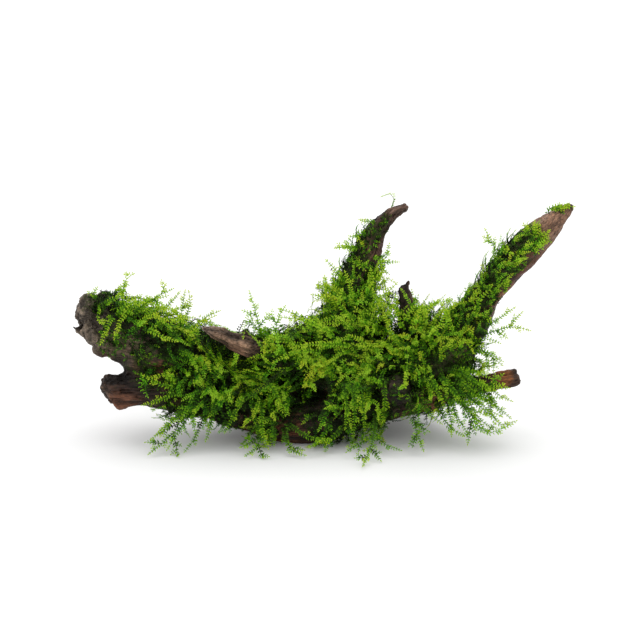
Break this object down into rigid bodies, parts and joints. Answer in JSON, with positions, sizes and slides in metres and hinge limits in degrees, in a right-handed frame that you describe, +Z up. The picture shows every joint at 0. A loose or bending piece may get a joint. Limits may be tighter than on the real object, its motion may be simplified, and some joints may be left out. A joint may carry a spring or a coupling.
{
  "type": "aquarium moss on driftwood",
  "caption": "Branching aquarium driftwood lying on a flat surface, its limbs overgrown with mats and trailing shoots of green aquarium moss.",
  "frame": {"origin": "on the surface that the driftwood lies on, under the middle of its box", "axes": "+X along the trunk towards the tall curved limb, +Z up, and +Y towards the back, away from the side with the most moss"},
  "size_m": [0.1986, 0.0936, 0.0971],
  "materials": {
    "driftwood_dark": "wet dark brown to black weathered root wood, grooved along the grain",
    "driftwood_brown": "wet red-brown bare root wood with swirling grain and worn ends",
    "moss_mat": "dense tufts of feathery green moss, darker inside",
    "moss_shoot": "feathery yellow-green shoot tips, slightly see-through"
  },
  "bodies": {
    "root": {"driftwood_left_arm": "driftwood_dark", "driftwood_left_root": "driftwood_dark", "driftwood_middle_spike": "driftwood_dark", "driftwood_rear_root_left": "driftwood_dark", "driftwood_rear_root_right": "driftwood_dark", "driftwood_right_horn": "driftwood_brown", "driftwood_right_root": "driftwood_brown", "driftwood_splinter": "driftwood_brown", "driftwood_stub": "driftwood_dark", "driftwood_trunk": "driftwood_dark", "moss_left_arm": "moss_mat", "moss_middle_spike": "moss_mat", "moss_right_horn": "moss_mat", "moss_trunk_centre": "moss_mat", "moss_trunk_left": "moss_mat", "moss_trunk_right": "moss_mat", "shoot_centre_surface": "moss_shoot", "shoot_centre_trailing": "moss_shoot", "shoot_front_right_trailing": "moss_shoot", "shoot_front_trailing": "moss_shoot", "shoot_horn": "moss_shoot", "shoot_left_arm_rise": "moss_shoot", "shoot_left_arm_top": "moss_shoot", "shoot_left_saddle": "moss_shoot", "shoot_left_trailing": "moss_shoot", "shoot_middle_leaning": "moss_shoot", "shoot_middle_top": "moss_shoot", "shoot_rear": "moss_shoot", "shoot_right_low": "moss_shoot", "shoot_right_reaching": "moss_shoot", "shoot_right_side": "moss_shoot", "shoot_right_trailing": "moss_shoot", "shoot_saddle_reaching": "moss_shoot", "shoot_spike_left": "moss_shoot", "shoot_spike_top": "moss_shoot"}
  },
  "joints": []
}
